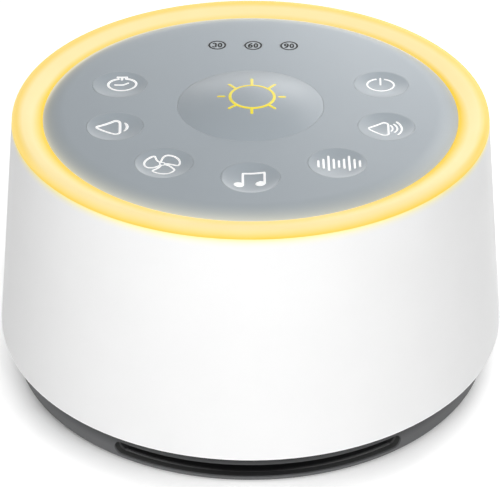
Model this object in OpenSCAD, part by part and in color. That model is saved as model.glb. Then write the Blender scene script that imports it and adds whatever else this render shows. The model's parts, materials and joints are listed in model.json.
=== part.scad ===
// White noise sound machine with a night light ring.
// Millimetres, +Z up, -Y is the front. The origin is the centre of the footprint, on the table.
// The base tray, the speaker stack, the power board, the shell and the top stack share one axis.

/* [Shell] */
// Outer diameter of the shell at its top edge
top_d = 99.2; // [96:0.2:130]
// Height of the shell from its bottom edge to its top edge
shell_h = 48.9; // [40:0.1:70]
// How much further out the bottom edge of the shell stands than its top edge
flare = 5.4; // [3:0.1:12]
// Wall thickness of the shell
shell_wall = 2.4; // [1.8:0.1:2.8]
// Radius of the shell's bottom outer edge
shell_edge_r = 0.5; // [0.2:0.1:1.2]
// Thickness of the inner deck that carries the control board
deck_t = 1.8; // [1.4:0.1:2.6]
// Width of the inner deck, from the wall inwards
deck_w = 12.3; // [11.5:0.1:14]

/* [Base] */
// Height of the dark base wall that shows under the shell
base_drop = 7.4; // [6.4:0.1:12]
// Radial gap between the base wall's upper edge and the inside of the shell
base_gap = 0.1; // [0.1:0.05:1.5]
// How far the base wall reaches up inside the shell
base_lap = 3.6; // [2:0.1:6]
// Wall thickness of the base tray
base_wall = 3.2; // [2.4:0.1:3.6]
// Floor thickness of the base tray
base_floor = 2.0; // [1.6:0.1:3]
// Radius of the base's bottom outer edge
base_edge_r = 0.4; // [0.2:0.1:0.8]
// Height of the sound slot in the base wall
slot_h = 3.15; // [2.4:0.05:4]
// Height of the slot's sill over the base's bottom edge
slot_sill = 0.95; // [0.8:0.05:1.2]
// Width of the slot's sill, from the outside inwards
slot_sill_w = 2.0; // [1.2:0.1:2.4]
// Half of the angle that the slot covers, end to end
slot_half_angle = 34.3; // [20:0.1:60]
// Turn of the slot's middle from the front about the axis, seen from above
slot_turn = 2.0; // [-4:0.1:4]
// Width of the thinned floor just behind the slot
slot_floor_w = 5; // [3:0.5:6]
// Thickness of the thinned floor just behind the slot
slot_floor_t = 0.65; // [0.6:0.05:0.8]
// Height of the bead along the inner edge of the slot's sill
sill_bead = 0.3; // [0.2:0.05:0.8]
// How far the feet stand out under the base
foot_h = 1.0; // [0.6:0.1:3]
// Radius of a foot
foot_r = 4.5; // [3:0.1:6]
// Depth of a foot's pocket in the floor
foot_pocket = 0.7; // [0.4:0.1:1]
// Radius of a foot's bottom edge
foot_edge_r = 0.4; // [0.2:0.1:0.6]

/* [Light ring] */
// Radial width of the ring
ring_w = 6.4; // [5.5:0.1:8]
// Height of the ring's crown over the shell's top edge
ring_crown = 1.95; // [1.2:0.05:4]
// Place of the crown across the ring, as a share of its width from inside
ring_peak = 0.75; // [0.4:0.05:0.85]
// Thickness of the ring under its crown
ring_t = 1.6; // [1.2:0.1:2.5]
// Depth of the ring's locating skirt inside the shell
ring_skirt_h = 3.0; // [2:0.1:4]
// Thickness of the locating skirt
ring_skirt_t = 1.1; // [0.8:0.1:1.6]

/* [Control panel] */
// Thickness of the panel
panel_t = 1.8; // [1.4:0.1:2.6]
// Height of the panel's flat over its edge
panel_rise = 1.35; // [0.6:0.05:1.7]
// Width of the rolled edge
panel_roll = 4.5; // [3:0.1:7]
// Thickness of the panel's skirt
panel_skirt_t = 1.8; // [1.2:0.1:2.4]
// Radius of a timer window
window_r = 2.1; // [1.4:0.1:2.6]
// Distance between neighbouring timer windows
window_pitch = 7.9; // [6.5:0.1:10]
// Distance of the timer windows from the panel's edge
window_inset = 16.1; // [12:0.1:17]
// Turn of the row of timer windows about the axis, seen from above
window_turn = -1.2; // [-4:0.1:4]

/* [Keys] */
// Radius of a key
key_r = 5.8; // [4:0.05:6.2]
// Distance of the key centres from the panel's edge
key_inset = 14.0; // [13:0.1:14.5]
// Angle between neighbouring keys
key_pitch = 36; // [35:0.5:40]
// Depth of the dish in a key
key_dish = 0.8; // [0.3:0.05:1.0]
// Flat land left round the dish
key_land = 0.15; // [0.1:0.05:0.8]
// Width of a key's flange beyond its cap
key_flange_w = 1.05; // [0.6:0.05:1.1]
// Thickness of a key's flange
key_flange_t = 0.8; // [0.6:0.1:1.4]
// Length of the stem under a key
key_stem_h = 1.4; // [1:0.1:3]
// Radius of the stem under a key
key_stem_r = 1.6; // [1:0.1:2]
// Travel of a key
key_travel = 0.5; // [0.2:0.05:0.7]
// Radius of the night light button
dome_r = 15.2; // [11:0.1:15.8]
// Height of the dome over its rim
dome_rise = 2.6; // [1:0.1:4]
// Wall thickness of the dome
dome_wall = 1.6; // [1.2:0.1:2.2]
// Width of the dome's flange beyond its rim
dome_flange_w = 1.4; // [1:0.1:1.5]
// Thickness of the dome's flange
dome_flange_t = 1.0; // [0.6:0.1:1.4]
// Thickness of the guide collars under the panel
collar_t = 1.1; // [0.8:0.1:1.2]
// Depth of the guide collars under the panel
collar_h = 2.4; // [1.6:0.1:3]

/* [Electronics] */
// Thickness of both circuit boards
board_t = 1.6; // [1:0.1:2]
// Gap between the control board and the top edge of the shell's wall
board_gap = 0.8; // [0.4:0.1:1.4]
// Width of a switch body
switch_w = 6; // [4.5:0.5:7]
// Height of a switch body
switch_h = 3.4; // [2.6:0.1:4]
// Radius of a switch plunger
plunger_r = 1.7; // [1.2:0.1:2]
// Height of a plunger over its switch body
plunger_h = 0.9; // [0.8:0.1:2]
// Depth of a plunger inside its switch body
plunger_depth = 1.2; // [0.8:0.1:1.6]
// Number of night light LEDs
led_count = 12; // [6:1:20]
// Height of the posts that carry the power board
board_post_h = 4; // [3:0.5:6]
// Width of the power board
power_board_w = 32; // [28:1:38]
// Depth of the power board
power_board_d = 18.5; // [18:0.5:20]
// Width of the power jack
jack_w = 9; // [8:0.5:11]
// Height of the power jack
jack_h = 11; // [10:0.5:13]
// Length of the power jack behind its nose
jack_len = 11.2; // [10:0.1:14]
// Radius of the power jack's nose
jack_nose_r = 4.2; // [4:0.1:4.5]
// Length of the power jack's nose
jack_nose_len = 2.8; // [2.6:0.1:4]
// Radius of the power jack's barrel
jack_bore_r = 3.15; // [2.9:0.05:3.3]
// Depth of the power jack's barrel
jack_bore_depth = 9.5; // [8:0.1:9.8]
// Radius of the power jack's centre pin
jack_pin_r = 1.0; // [0.8:0.05:1.3]

/* [Speaker] */
// Outer radius of the speaker frame
speaker_r = 26; // [24:0.5:28]
// Height of the basket from its flange to its back
basket_h = 9; // [8:0.5:12]
// Wall thickness of the basket
basket_t = 1.0; // [0.8:0.1:1.5]
// Radius of the ring magnet
magnet_r = 16; // [13:0.5:18]
// Thickness of the ring magnet
magnet_t = 7; // [5:0.5:8]
// Radius of the pole piece
pole_r = 6.2; // [5.4:0.1:6.6]
// Travel of the cone each way from rest
cone_travel = 1.0; // [0.4:0.1:1.2]
// Height of the air space under the baffle
chamber_h = 5; // [4.5:0.1:8]
// Thickness of the speaker baffle
baffle_t = 2; // [1.6:0.1:3]

/* [Fasteners] */
// Shank radius of the base screws
screw_r = 1.45; // [1.2:0.05:1.7]
// Radius of a screw head, as a multiple of its shank
head_ratio = 1.85; // [1.6:0.05:2]
// Height of a screw head, as a multiple of its shank
head_height_ratio = 1.25; // [1:0.05:1.4]
// Shank radius of the small screws
small_screw_r = 1.0; // [0.8:0.05:1.1]
// Wall of a boss round a base screw
boss_wall = 2.35; // [1.6:0.05:2.5]
// Wall of a boss round a small screw
small_boss_wall = 1.6; // [1.2:0.1:1.8]

/* [Fits] */
// Radial gap round each key and button
key_gap = 0.06; // [0.04:0.01:0.1]
// Radial gap between a screw and its tight hole
thread_gap = 0.03; // [0.02:0.01:0.1]
// Radial gap between a screw and its loose hole
loose_gap = 0.2; // [0.1:0.05:0.3]
// Gap between pieces that only stand near each other
near_gap = 0.3; // [0.2:0.05:0.4]
// Gap in the fine seams of the top: panel to ring, and window to panel
seam_gap = 0.05; // [0.03:0.01:0.1]

/* [Hidden] */
$fn = 96;
eps = 0.01;       // overshoot of a cutting tool past the face it cuts
small_fn = 32;    // facets that preview a small round piece
arc_steps = 10;   // straight steps in a rounded profile

// Heights of the outside, from the table up
z_base = foot_h;
z_shell = z_base + base_drop;
z_top = z_shell + shell_h;
z_flat = z_top + panel_rise;
z_base_rim = z_shell + base_lap;
z_floor = z_base + base_floor;

// Radii of the outside
top_r = top_d / 2;
bottom_r = top_r + flare;
shell_slope = flare / shell_h;
ring_in_r = top_r - ring_w;
panel_r = ring_in_r - seam_gap;
base_r = bottom_r - base_lap * shell_slope - shell_wall - base_gap;
base_in_r = base_r - base_wall;

// Sound slot
z_sill = z_base + slot_sill;
z_slot_floor = z_base + slot_floor_t;
slot_end_r = slot_h / 2;
slot_end_angle = slot_half_angle - asin(slot_end_r / base_r);

// Top stack, from the panel down
z_panel_under = z_flat - panel_t;
z_key_flange = z_panel_under - key_flange_t;
z_plunger_top = z_key_flange - key_stem_h;
z_switch_top = z_plunger_top - plunger_h;
z_board_top = z_switch_top - switch_h;
z_board_under = z_board_top - board_t;
z_deck_under = z_board_under - deck_t;
board_r = top_r - shell_wall - board_gap;

// Keys run clockwise from the timer at the left, seen from above
KEY_TIMER = 0;
KEY_VOLUME_DOWN = 1;
KEY_FAN = 2;
KEY_MUSIC = 3;
KEY_WHITE_NOISE = 4;
KEY_VOLUME_UP = 5;
KEY_POWER = 6;
KEY_COUNT = 7;
FRONT = -90;
key_ring_r = panel_r - key_inset;
dome_sphere_r = (dome_r * dome_r + dome_rise * dome_rise) / (2 * dome_rise);
dish_r = key_r - key_land;
dish_sphere_r = (dish_r * dish_r + key_dish * key_dish) / (2 * key_dish);
window_y = panel_r - window_inset;
led_size = [2.8, 3.5, 1.9];
led_inset = 0.4;
led_circle_r = ring_in_r + led_inset + led_size[0] / 2;
timer_led_size = [2.0, 1.25, 0.8];

// Fasteners
panel_boss_r = small_screw_r + small_boss_wall;
panel_boss_inset = 1.95;
panel_boss_circle_r = panel_r - panel_skirt_t - panel_boss_inset;
panel_screw_angles = [-36, 54, 126, 216];
panel_screw_grip = 5;
small_head_r = small_screw_r * 2;
small_head_h = small_screw_r * 1.5;
post_r = screw_r + boss_wall;
post_inset = 2;
post_circle_r = base_in_r - post_r - post_inset;
post_angles = [45, 135, 225, 315];
head_r = screw_r * head_ratio;
head_h = screw_r * head_height_ratio;
head_recess = 3;
base_screw_grip = 14;
foot_inset = 4;
foot_circle_r = post_circle_r - foot_inset;
foot_angles = [0, 90, 180, 270];

// Speaker stack, from the baffle up. The cone faces down.
z_baffle = z_floor + chamber_h;
z_baffle_top = z_baffle + baffle_t;
gasket_t = 0.8;
flange_t = 1.2;
z_flange = z_baffle_top + gasket_t;
z_flange_top = z_flange + flange_t;
z_basket_top = z_flange_top + basket_h + basket_t;
plate_t = 2;
z_magnet = z_basket_top + plate_t;
z_yoke = z_magnet + magnet_t;
z_speaker_back = z_yoke + plate_t;
flange_w = 3.6;
flange_in_r = speaker_r - flange_w;
opening_r = flange_in_r + 0.6;
surround_w = 3.4;
surround_lip = 1.0;
surround_t = 0.5;
cone_r = flange_in_r - surround_w;
cone_slope = 0.55;
cone_t = 0.5;
coil_in_r = pole_r + 0.4;
coil_out_r = coil_in_r + 0.5;
gap_bore_r = coil_out_r + 0.5;
neck_r = coil_out_r + seam_gap;
z_cone = z_flange;
z_neck = z_cone + (cone_r - neck_r) * cone_slope;
z_coil = z_neck - 0.4;
z_coil_top = z_magnet + cone_travel + 0.5;
ear_circle_r = speaker_r + 2.5;
ear_r = 3.2;
ear_angles = [45, 135, 225, 315];
speaker_boss_h = 2.5;
basket_r1 = speaker_r - 1.2;
basket_r2 = magnet_r - 0.5;

// Power board at the back, with the jack in the shell's wall
z_power_board = z_baffle_top + board_post_h;
z_power_board_top = z_power_board + board_t;
z_jack_axis = z_power_board_top + jack_h / 2;
jack_recess = 0.6;
jack_face_y = shell_r(z_jack_axis) - jack_recess;
jack_block_y = jack_face_y - jack_nose_len;
jack_hole_r = jack_nose_r + 0.2;
power_board_y1 = jack_block_y - 3.2;
power_board_y0 = power_board_y1 - power_board_d;
power_post_r = small_screw_r + small_boss_wall;
power_post_inset = 3.2;
power_post_x = power_board_w / 2 - power_post_inset;
power_post_y = [power_board_y0 + power_post_inset, power_board_y1 - power_post_inset];

// Ribbon cable between the two boards
connector_size = [10, 5, 5];
connector_x = -5.5;
connector_y = power_board_y0 + 3.6;
upper_connector_y = power_board_y0 + 0.4;
ribbon_w = 8.5;
ribbon_t = 1;
ribbon_sway = 3;
ribbon_steps = 24;

// Speaker wires, from the terminal strip to their socket on the power board
wire_r = 0.65;
wire_sides = 8;
wire_spread = 2.4;
terminal_size = [9, 0.8, 5];
terminal_y = speaker_r - 0.6;
socket_size = [5, 4.5, 5];
socket_x = 7.8;
socket_y = power_board_y0 + 3.2;

// Outer radius of the shell at height z
function shell_r(z) = bottom_r - (z - z_shell) * shell_slope;

// Points of a circular arc of radius r round c, from angle a to angle b
function arc(c, r, a, b) = [
    for (i = [0:arc_steps])
        let (t = a + (b - a) * i / arc_steps)
        [c[0] + r * cos(t), c[1] + r * sin(t)]
];

// Angle of key number i round the panel
function key_angle(i) = FRONT + (i - KEY_MUSIC) * key_pitch;

// Height of the panel's top face at radius r: a flat with a rolled edge
function roll_z(r) = z_flat - panel_rise * pow(max(0, r - panel_r + panel_roll) / panel_roll, 2);

module at_angles(angles, circle_r) {
    for (a = angles)
        rotate([0, 0, a])
        translate([circle_r, 0, 0])
        children();
}

module at_key(i) {
    at_angles([key_angle(i)], key_ring_r) children();
}

module at_windows() {
    rotate([0, 0, window_turn])
    for (x = [-1, 0, 1])
        translate([x * window_pitch, window_y, 0]) children();
}

module rod(r, z0, z1) {
    translate([0, 0, z0])
    cylinder(r = r, h = z1 - z0);
}

module tube(r_out, r_in, z0, z1) {
    difference() {
        rod(r_out, z0, z1);
        rod(r_in, z0 - eps, z1 + eps);
    }
}

// A box centred on x and y, standing on z0
module block(size, z0) {
    translate([-size[0] / 2, -size[1] / 2, z0])
    cube(size);
}

// A screw that points up, with a cross recess in the underside of its head
module screw(r, big_r, big_h, length) {
    $fn = small_fn;
    difference() {
        union() {
            rod(r, 0, length);
            rod(big_r, -big_h, 0);
        }
        for (a = [0, 90])
            rotate([0, 0, a])
            block([big_r * 1.2, r * 0.45, big_h], -1.5 * big_h);
    }
}

// A round tube along a list of points, capped at both ends
module sweep(path, r, sides) {
    last = len(path) - 1;
    rings = [
        for (i = [0:last])
            let (d = path[min(i + 1, last)] - path[max(i - 1, 0)])
            let (side = cross(d, [1, 0, 0]) / norm(cross(d, [1, 0, 0])))
            let (up = cross(d, side) / norm(cross(d, side)))
            for (k = [0:sides - 1])
                path[i] + r * (side * cos(360 * k / sides) + up * sin(360 * k / sides))
    ];
    walls = [
        for (i = [0:last - 1], k = [0:sides - 1])
            let (here = i * sides + k, next = i * sides + (k + 1) % sides)
            each [[here + sides, next + sides, next], [here + sides, next, here]]
    ];
    caps = [
        [for (k = [0:sides - 1]) k],
        [for (k = [0:sides - 1]) last * sides + sides - 1 - k]
    ];
    polyhedron(points = rings, faces = concat(walls, caps));
}

// ---- Housing ----

module shell_profile() {
    in_bottom = bottom_r - shell_wall;
    edge = [bottom_r - shell_edge_r, z_shell + shell_edge_r];
    polygon(concat(
        [[in_bottom, z_shell]],
        arc(edge, shell_edge_r, -90, 0),
        [[top_r, z_top], [top_r - shell_wall, z_top]]
    ));
}

// The deck's outer edge reaches half-way into the wall all along its height
module deck_profile() {
    wall_mid = shell_wall / 2;
    deck_in_r = shell_r(z_deck_under) - shell_wall - deck_w;
    polygon([
        [deck_in_r, z_deck_under],
        [shell_r(z_deck_under) - wall_mid, z_deck_under],
        [shell_r(z_board_under) - wall_mid, z_board_under],
        [deck_in_r, z_board_under]
    ]);
}

module housing_shell() {
    color("white")
    difference() {
        union() {
            rotate_extrude() shell_profile();
            rotate_extrude() deck_profile();
            at_angles(post_angles, post_circle_r) rod(post_r, z_baffle_top, z_board_under);
        }
        at_angles(post_angles, post_circle_r)
        rod(screw_r + thread_gap, z_baffle_top - eps, z_baffle_top + base_screw_grip + 1);
        at_angles(panel_screw_angles, panel_boss_circle_r)
        rod(small_screw_r + loose_gap, z_deck_under - eps, z_board_under + eps);
        translate([0, jack_block_y - 4, z_jack_axis])
        rotate([-90, 0, 0])
        cylinder(r = jack_hole_r, h = bottom_r);
    }
}

// The ring's top climbs from the panel's edge to its crown, then rounds off to the shell
module light_ring() {
    crown_steps = 12;
    skirt_r = top_r - shell_wall - 0.1;
    peak_r = ring_in_r + ring_w * ring_peak;
    rise = [
        for (i = [0:crown_steps])
            let (u = i / crown_steps)
            [ring_in_r + (peak_r - ring_in_r) * u, z_top + ring_crown * sin(90 * u)]
    ];
    fall = [
        for (i = [1:crown_steps])
            let (t = 90 - 90 * i / crown_steps)
            [peak_r + (top_r - peak_r) * cos(t), z_top + ring_crown * sin(t)]
    ];
    color("khaki")
    rotate_extrude()
    polygon(concat(
        [[ring_in_r, z_top - ring_t]],
        rise,
        fall,
        [
            [skirt_r, z_top],
            [skirt_r, z_top - ring_skirt_h],
            [skirt_r - ring_skirt_t, z_top - ring_skirt_h],
            [skirt_r - ring_skirt_t, z_top - ring_t]
        ]
    ));
}

// ---- Control panel ----

// The skirt ends just over the board: the panel stands on its four bosses
module panel_profile() {
    skirt_r = panel_r - panel_skirt_t;
    z_skirt = z_board_top + near_gap;
    top_edge = [
        for (i = [0:arc_steps])
            let (r = panel_r - panel_roll * (1 - i / arc_steps))
            [r, roll_z(r)]
    ];
    polygon(concat(
        [[0, z_panel_under], [0, z_flat]],
        top_edge,
        [[panel_r, z_skirt], [skirt_r, z_skirt], [skirt_r, z_panel_under]]
    ));
}

module control_panel() {
    key_hole_r = key_r + key_gap;
    key_collar_r = key_r + key_flange_w + near_gap;
    dome_hole_r = dome_r + key_gap;
    dome_collar_r = dome_r + dome_flange_w + near_gap;
    z_collar = z_panel_under - collar_h;
    color("slategray")
    difference() {
        union() {
            rotate_extrude() panel_profile();
            tube(dome_collar_r + collar_t, dome_collar_r, z_collar, z_panel_under);
            for (i = [0:KEY_COUNT - 1])
                at_key(i) rod(key_collar_r + collar_t, z_collar, z_panel_under + eps);
            at_angles(panel_screw_angles, panel_boss_circle_r)
            rod(panel_boss_r, z_board_top, z_panel_under + eps);
        }
        rod(dome_hole_r, z_panel_under - eps, z_flat + 1);
        for (i = [0:KEY_COUNT - 1])
            at_key(i) {
                rod(key_collar_r, z_collar - eps, z_panel_under);
                rod(key_hole_r, z_panel_under - eps, z_flat + 1);
            }
        at_angles(panel_screw_angles, panel_boss_circle_r)
        rod(small_screw_r + thread_gap, z_board_top - eps, z_board_top + panel_screw_grip + 0.5);
        at_windows() rod(window_r + seam_gap, z_panel_under - eps, z_flat + 1);
    }
}

module key(i) {
    $fn = 64;
    color("lightslategray")
    at_key(i)
    difference() {
        union() {
            rod(key_r, z_key_flange, z_flat);
            rod(key_r + key_flange_w, z_key_flange, z_panel_under);
            rod(key_stem_r, z_plunger_top, z_key_flange + eps);
        }
        translate([0, 0, z_flat - key_dish + dish_sphere_r])
        sphere(r = dish_sphere_r);
    }
}

module night_light_button() {
    z_centre = z_flat + dome_rise - dome_sphere_r;
    z_flange_low = z_panel_under - dome_flange_t;
    color("lightslategray")
    union() {
        difference() {
            union() {
                intersection() {
                    rod(dome_r, z_flange_low, z_flat + dome_rise + 1);
                    translate([0, 0, z_centre]) sphere(r = dome_sphere_r);
                }
                rod(dome_r + dome_flange_w, z_flange_low, z_panel_under);
            }
            intersection() {
                rod(dome_r - dome_wall, z_flange_low - eps, z_flat + dome_rise + 1);
                translate([0, 0, z_centre]) sphere(r = dome_sphere_r - dome_wall);
            }
        }
        rod(key_stem_r + 0.6, z_plunger_top, z_flat + dome_rise - dome_wall / 2);
    }
}

module plunger() {
    $fn = small_fn;
    color("black")
    rod(plunger_r, z_switch_top - plunger_depth, z_plunger_top);
}

module switch_bodies() {
    cavity_r = plunger_r + 0.06;
    cavity_depth = plunger_depth + key_travel + 0.2;
    color("dimgray")
    for (i = [0:KEY_COUNT])
        rotate([0, 0, i < KEY_COUNT ? key_angle(i) : 0])
        translate([i < KEY_COUNT ? key_ring_r : 0, 0, 0])
        difference() {
            block([switch_w, switch_w, switch_h], z_board_top);
            rod(cavity_r, z_switch_top - cavity_depth, z_switch_top + eps, $fn = small_fn);
        }
}

module timer_light_pipe() {
    bridge_t = 1.0;
    led_clearance = 0.2;
    color("lightgray")
    union() {
        at_windows() rod(window_r, z_board_top + timer_led_size[2] + led_clearance, z_flat);
        rotate([0, 0, window_turn])
        translate([0, window_y, 0])
        block([2 * window_pitch + 2 * window_r, window_r * 2, bridge_t], z_panel_under - bridge_t);
    }
}

module timer_leds() {
    color("white")
    at_windows() block(timer_led_size, z_board_top);
}

module night_light_leds() {
    color("lightyellow")
    for (i = [0:led_count - 1])
        rotate([0, 0, (i + 0.5) * 360 / led_count])
        translate([led_circle_r, 0, 0])
        block(led_size, z_board_top);
}

module control_board() {
    color("darkgreen")
    difference() {
        rod(board_r, z_board_under, z_board_top);
        at_angles(panel_screw_angles, panel_boss_circle_r)
        rod(small_screw_r + loose_gap, z_board_under - eps, z_board_top + eps);
    }
}

module controller_chips() {
    controller = [10, 10, 1.4];
    memory = [6, 5, 1.6];
    color("black") {
        translate([0, -6, 0]) block(controller, z_board_under - controller[2]);
        translate([13, 4, 0]) block(memory, z_board_under - memory[2]);
    }
}

module panel_screws() {
    color("silver")
    at_angles(panel_screw_angles, panel_boss_circle_r)
    translate([0, 0, z_deck_under])
    screw(small_screw_r, small_head_r, small_head_h, deck_t + board_t + panel_screw_grip);
}

// ---- Base ----

module base_profile() {
    edge = [base_r - base_edge_r, z_base + base_edge_r];
    polygon(concat(
        [[0, z_base]],
        arc(edge, base_edge_r, -90, 0),
        [[base_r, z_base_rim], [base_in_r, z_base_rim], [base_in_r, z_floor], [0, z_floor]]
    ));
}

// A ring segment round the front, over the stretch of the slot between its round ends
module slot_band(r_in, r_out, z0, z1) {
    rotate([0, 0, FRONT + slot_turn - slot_end_angle])
    rotate_extrude(angle = 2 * slot_end_angle)
    translate([r_in, z0])
    square([r_out - r_in, z1 - z0]);
}

// The slot is a band cut through the wall, closed by a round end at each side.
// Behind its sill the wall and the floor are cut deeper.
module slot_cut() {
    reach = base_r - base_in_r + 2;
    floor_in_r = base_in_r - slot_floor_w;
    slot_band(floor_in_r, base_r + 1, z_sill, z_sill + slot_h);
    slot_band(floor_in_r, base_r - slot_sill_w, z_slot_floor, z_sill + eps);
    for (a = [-slot_end_angle, slot_end_angle])
        rotate([0, 0, FRONT + slot_turn + a])
        translate([base_in_r - 1, 0, z_sill + slot_end_r])
        rotate([90, 0, 90])
        cylinder(r = slot_end_r, h = reach, $fn = small_fn);
}

module base_tray() {
    bead_w = 0.4;
    bead_r = base_r - slot_sill_w;
    color("dimgray")
    union() {
        difference() {
            union() {
                rotate_extrude() base_profile();
                at_angles(post_angles, post_circle_r) rod(post_r, z_floor - eps, z_baffle);
            }
            slot_cut();
            at_angles(post_angles, post_circle_r) {
                rod(screw_r + loose_gap, z_base - eps, z_baffle + eps);
                rod(head_r + near_gap, z_base - eps, z_base + head_recess);
            }
            at_angles(foot_angles, foot_circle_r)
            rod(foot_r + 0.1, z_base - eps, z_base + foot_pocket);
        }
        slot_band(bead_r, bead_r + bead_w, z_sill - eps, z_sill + sill_bead);
    }
}

module rubber_feet() {
    color("black")
    at_angles(foot_angles, foot_circle_r)
    rotate_extrude()
    polygon(concat(
        [[0, 0]],
        arc([foot_r - foot_edge_r, foot_edge_r], foot_edge_r, -90, 0),
        [[foot_r, z_base + foot_pocket], [0, z_base + foot_pocket]]
    ));
}

module base_screws() {
    shank = z_baffle_top - (z_base + head_recess) + base_screw_grip;
    color("silver")
    at_angles(post_angles, post_circle_r)
    translate([0, 0, z_base + head_recess])
    screw(screw_r, head_r, head_h, shank);
}

// ---- Speaker ----

module speaker_baffle() {
    color("dimgray")
    difference() {
        union() {
            rod(base_in_r - near_gap, z_baffle, z_baffle_top);
            at_angles(ear_angles, ear_circle_r) rod(ear_r, z_baffle - speaker_boss_h, z_flange);
            for (x = [-power_post_x, power_post_x], y = power_post_y)
                translate([x, y, 0])
                rod(power_post_r, z_baffle_top - eps, z_power_board);
        }
        rod(opening_r, z_baffle - speaker_boss_h - eps, z_flange + eps);
        at_angles(post_angles, post_circle_r)
        rod(screw_r + loose_gap, z_baffle - eps, z_baffle_top + eps);
        at_angles(ear_angles, ear_circle_r)
        rod(small_screw_r + thread_gap, z_baffle - speaker_boss_h + 0.6, z_flange + eps);
        for (x = [-power_post_x, power_post_x], y = power_post_y)
            translate([x, y, 0])
            rod(small_screw_r + thread_gap, z_baffle_top + 0.4, z_power_board + eps);
    }
}

module speaker_gasket() {
    color("black")
    difference() {
        tube(speaker_r - 0.1, flange_in_r + 1.8, z_baffle_top, z_flange);
        at_angles(ear_angles, ear_circle_r) rod(ear_r + 0.1, z_baffle_top - eps, z_flange + eps);
    }
}

module speaker_frame() {
    window_w = 12;
    window_h = basket_h - 5;
    z_back = z_basket_top - basket_t;
    color("gray")
    difference() {
        union() {
            rod(speaker_r, z_flange, z_flange_top);
            at_angles(ear_angles, ear_circle_r) rod(ear_r, z_flange, z_flange_top);
            translate([0, 0, z_flange_top])
            cylinder(r1 = basket_r1, r2 = basket_r2, h = z_basket_top - z_flange_top);
        }
        rod(flange_in_r, z_flange - eps, z_flange_top + eps);
        translate([0, 0, z_flange_top])
        cylinder(r1 = basket_r1 - basket_t, r2 = basket_r2 - basket_t, h = z_back - z_flange_top);
        rod(gap_bore_r, z_back - eps, z_basket_top + eps);
        at_angles(ear_angles, ear_circle_r)
        rod(small_screw_r + loose_gap, z_flange - eps, z_flange_top + eps);
        for (a = [0, 90])
            rotate([0, 0, a])
            block([2 * speaker_r, window_w, window_h], z_flange_top + 2.5);
    }
}

module speaker_surround() {
    lip_in = cone_r - surround_lip;
    roll_r = surround_w / 2;
    roll_mid = cone_r + roll_r;
    z_lip = z_flange - surround_t;
    outer_lip = surround_t + 1.6;
    color("black")
    rotate_extrude()
    union() {
        translate([lip_in, z_lip]) square([surround_lip + surround_t, surround_t]);
        translate([flange_in_r - surround_t, z_lip]) square([outer_lip, surround_t]);
        polygon(concat(
            arc([roll_mid, z_flange], roll_r, 180, 360),
            arc([roll_mid, z_flange], roll_r - surround_t, 360, 180)
        ));
    }
}

// The outer rim of the cone is a flat ring that lies on the surround's inner lip
module speaker_cone() {
    lip_in = cone_r - surround_lip;
    color("dimgray")
    rotate_extrude()
    polygon([
        [cone_r, z_cone],
        [cone_r, z_cone + cone_t],
        [lip_in, z_cone + cone_t],
        [neck_r, z_neck + cone_t],
        [neck_r, z_neck],
        [lip_in, z_cone]
    ]);
}

module speaker_dust_cap() {
    cap_r = neck_r + 2;
    cap_rise = 2;
    cap_t = 0.4;
    sphere_r = (cap_r * cap_r + cap_rise * cap_rise) / (2 * cap_rise);
    z_edge = z_neck - (cap_r - neck_r) * (z_neck - z_cone) / (cone_r - surround_lip - neck_r) - 0.1;
    color("black")
    intersection() {
        rod(cap_r, z_edge - cap_rise - 1, z_edge);
        difference() {
            translate([0, 0, z_edge - cap_rise + sphere_r]) sphere(r = sphere_r);
            translate([0, 0, z_edge - cap_rise + sphere_r]) sphere(r = sphere_r - cap_t);
        }
    }
}

module speaker_voice_coil() {
    color("orange")
    tube(coil_out_r, coil_in_r, z_coil, z_coil_top);
}

module speaker_spider() {
    spider_t = 0.4;
    z0 = z_neck + cone_t + cone_travel + seam_gap;
    rise = (z0 + spider_t - z_flange_top) / basket_h;
    rim_r = basket_r1 - basket_t - (basket_r1 - basket_r2) * rise - seam_gap;
    color("goldenrod")
    tube(rim_r, coil_out_r + seam_gap, z0, z0 + spider_t);
}

module speaker_top_plate() {
    color("silver")
    tube(magnet_r - 1.5, gap_bore_r, z_basket_top, z_magnet);
}

module speaker_magnet() {
    color("darkslategray")
    tube(magnet_r, gap_bore_r + 1.6, z_magnet, z_yoke);
}

module speaker_yoke() {
    color("silver")
    union() {
        rod(magnet_r - 1.5, z_yoke, z_speaker_back);
        rod(pole_r, z_basket_top, z_yoke + eps);
    }
}

module speaker_terminals() {
    color("peru")
    translate([0, terminal_y, 0])
    block(terminal_size, z_flange_top);
}

module speaker_screws() {
    color("silver")
    at_angles(ear_angles, ear_circle_r)
    translate([0, 0, z_flange_top])
    mirror([0, 0, 1])
    screw(small_screw_r, small_head_r, small_head_h, z_flange_top - z_baffle + 1.4);
}

module speaker_wires() {
    straight = 1;
    arch = 3;
    bend_steps = 12;
    color("firebrick")
    for (side = [-0.5, 0.5]) {
        foot = [side * 2 * wire_spread, terminal_y, z_flange_top + terminal_size[2]];
        plug = [socket_x + side * wire_spread, socket_y, z_power_board_top + socket_size[2]];
        start = foot + [0, 0, straight];
        finish = plug + [0, 0, straight];
        bend = [
            for (i = [0:bend_steps])
                let (t = i / bend_steps)
                let (across = (1 - cos(180 * t)) / 2)
                [
                    start[0] + (finish[0] - start[0]) * across,
                    start[1] + (finish[1] - start[1]) * across,
                    start[2] + (finish[2] - start[2]) * t + arch * sin(180 * t)
                ]
        ];
        sweep(concat([foot], bend, [plug]), wire_r, wire_sides);
    }
}

// ---- Power board ----

module power_board() {
    color("darkgreen")
    translate([0, (power_board_y0 + power_board_y1) / 2, 0])
    difference() {
        block([power_board_w, power_board_d, board_t], z_power_board);
        for (x = [-power_post_x, power_post_x], y = [-1, 1])
            translate([x, y * (power_board_d / 2 - power_post_inset), 0])
            rod(small_screw_r + loose_gap, z_power_board - eps, z_power_board_top + eps);
    }
}

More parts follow.
